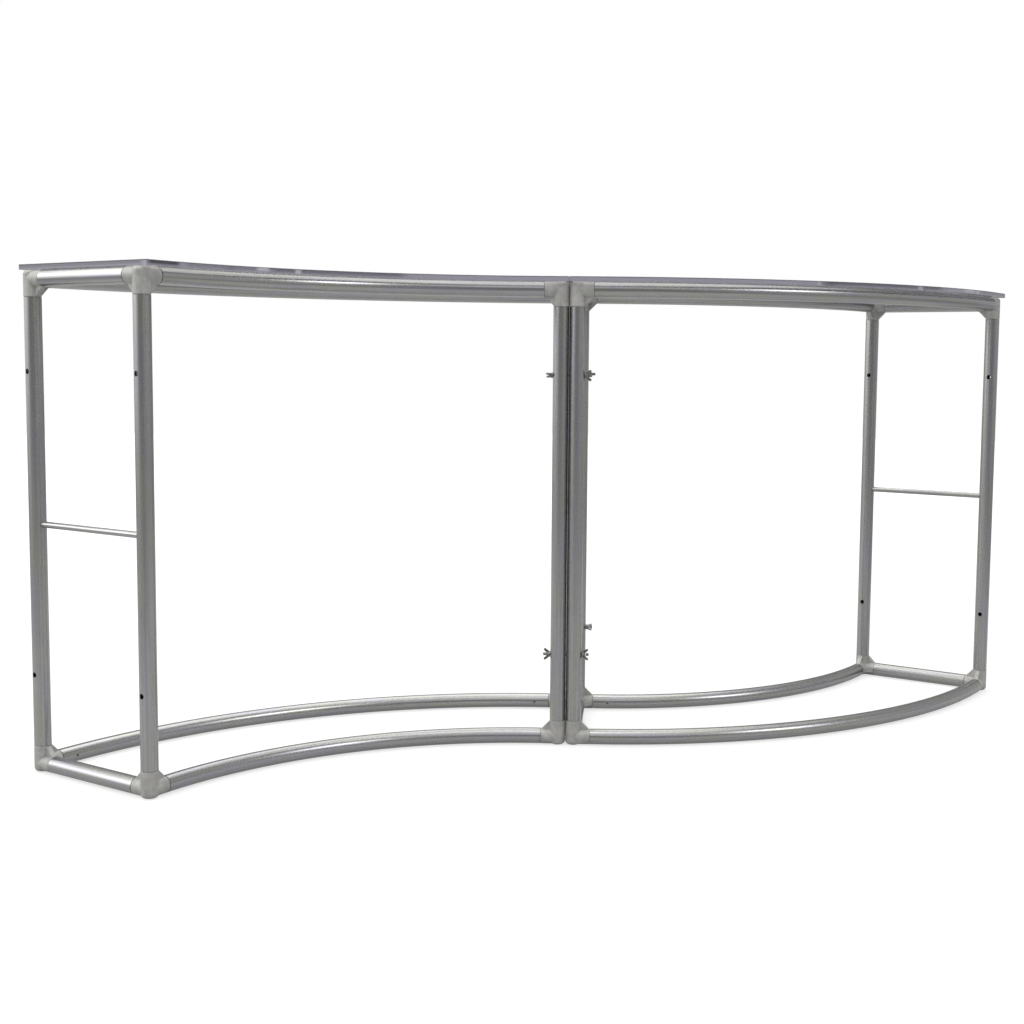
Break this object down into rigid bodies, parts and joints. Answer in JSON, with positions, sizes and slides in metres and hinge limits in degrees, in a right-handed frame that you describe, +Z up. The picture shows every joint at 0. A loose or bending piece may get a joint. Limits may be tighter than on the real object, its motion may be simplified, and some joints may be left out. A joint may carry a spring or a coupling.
{
  "type": "curved exhibition counter",
  "caption": "Serpentine exhibition counter of curved aluminium tube frames with cast corner joints, wing-bolted end to end, under tinted clear tops.",
  "frame": {"origin": "on the floor under the middle of the joint between the modules", "axes": "+X along the counter from the left module to the right one, +Y away from the customer's side, +Z up"},
  "size_m": [2.0436, 1.178, 0.9653],
  "materials": {
    "aluminium_tube": "mill finish, drawn",
    "cast_corner": "as cast, matte",
    "zinc_hardware": "dull zinc plate",
    "tinted_acrylic": "gloss, tinted, see-through"
  },
  "bodies": {
    "frame": {"left_outer_front_post": "aluminium_tube", "left_outer_rear_post": "aluminium_tube", "left_inner_front_post": "aluminium_tube", "left_inner_rear_post": "aluminium_tube", "right_outer_front_post": "aluminium_tube", "right_outer_rear_post": "aluminium_tube", "right_inner_front_post": "aluminium_tube", "right_inner_rear_post": "aluminium_tube", "left_outer_front_bottom_corner": "cast_corner", "left_outer_front_top_corner": "cast_corner", "left_outer_rear_bottom_corner": "cast_corner", "left_outer_rear_top_corner": "cast_corner", "left_inner_front_bottom_corner": "cast_corner", "left_inner_front_top_corner": "cast_corner", "left_inner_rear_bottom_corner": "cast_corner", "left_inner_rear_top_corner": "cast_corner", "right_outer_front_bottom_corner": "cast_corner", "right_outer_front_top_corner": "cast_corner", "right_outer_rear_bottom_corner": "cast_corner", "right_outer_rear_top_corner": "cast_corner", "right_inner_front_bottom_corner": "cast_corner", "right_inner_front_top_corner": "cast_corner", "right_inner_rear_bottom_corner": "cast_corner", "right_inner_rear_top_corner": "cast_corner", "left_front_bottom_rail": "aluminium_tube", "left_front_top_rail": "aluminium_tube", "left_rear_bottom_rail": "aluminium_tube", "left_rear_top_rail": "aluminium_tube", "right_front_bottom_rail": "aluminium_tube", "right_front_top_rail": "aluminium_tube", "right_rear_bottom_rail": "aluminium_tube", "right_rear_top_rail": "aluminium_tube", "left_outer_bottom_cross_tube": "aluminium_tube", "left_outer_top_cross_tube": "aluminium_tube", "left_inner_bottom_cross_tube": "aluminium_tube", "left_inner_top_cross_tube": "aluminium_tube", "right_outer_bottom_cross_tube": "aluminium_tube", "right_outer_top_cross_tube": "aluminium_tube", "right_inner_bottom_cross_tube": "aluminium_tube", "right_inner_top_cross_tube": "aluminium_tube", "left_outer_brace_rod": "aluminium_tube", "left_inner_brace_rod": "aluminium_tube", "right_outer_brace_rod": "aluminium_tube", "right_inner_brace_rod": "aluminium_tube", "left_rail_screws": "zinc_hardware", "right_rail_screws": "zinc_hardware"},
    "left_top": {"left_counter_top": "tinted_acrylic"},
    "right_top": {"right_counter_top": "tinted_acrylic"},
    "upper_front_bolt": {"upper_front_wing_bolt": "zinc_hardware"},
    "upper_front_nut": {"upper_front_wing_nut": "zinc_hardware"},
    "upper_rear_bolt": {"upper_rear_wing_bolt": "zinc_hardware"},
    "upper_rear_nut": {"upper_rear_wing_nut": "zinc_hardware"},
    "lower_front_bolt": {"lower_front_wing_bolt": "zinc_hardware"},
    "lower_front_nut": {"lower_front_wing_nut": "zinc_hardware"},
    "lower_rear_bolt": {"lower_rear_wing_bolt": "zinc_hardware"},
    "lower_rear_nut": {"lower_rear_wing_nut": "zinc_hardware"}
  },
  "joints": [
    {"name": "left_top_lift", "type": "slide", "parent": "frame", "child": "left_top", "axis": [0, 0, 1], "range_m": [0, 0.1]},
    {"name": "right_top_lift", "type": "slide", "parent": "frame", "child": "right_top", "axis": [0, 0, 1], "range_m": [0, 0.1]},
    {"name": "upper_front_bolt_turn", "type": "hinge", "parent": "frame", "child": "upper_front_bolt", "pos_m": [0, -0.15, 0.766], "axis": [1, 0, 0], "continuous": true},
    {"name": "upper_front_nut_turn", "type": "hinge", "parent": "upper_front_bolt", "child": "upper_front_nut", "pos_m": [0, -0.15, 0.766], "axis": [1, 0, 0], "continuous": true},
    {"name": "upper_rear_bolt_turn", "type": "hinge", "parent": "frame", "child": "upper_rear_bolt", "pos_m": [0, 0.15, 0.766], "axis": [1, 0, 0], "continuous": true},
    {"name": "upper_rear_nut_turn", "type": "hinge", "parent": "upper_rear_bolt", "child": "upper_rear_nut", "pos_m": [0, 0.15, 0.766], "axis": [1, 0, 0], "continuous": true},
    {"name": "lower_front_bolt_turn", "type": "hinge", "parent": "frame", "child": "lower_front_bolt", "pos_m": [0, -0.15, 0.189], "axis": [1, 0, 0], "continuous": true},
    {"name": "lower_front_nut_turn", "type": "hinge", "parent": "lower_front_bolt", "child": "lower_front_nut", "pos_m": [0, -0.15, 0.189], "axis": [1, 0, 0], "continuous": true},
    {"name": "lower_rear_bolt_turn", "type": "hinge", "parent": "frame", "child": "lower_rear_bolt", "pos_m": [0, 0.15, 0.189], "axis": [1, 0, 0], "continuous": true},
    {"name": "lower_rear_nut_turn", "type": "hinge", "parent": "lower_rear_bolt", "child": "lower_rear_nut", "pos_m": [0, 0.15, 0.189], "axis": [1, 0, 0], "continuous": true}
  ]
}
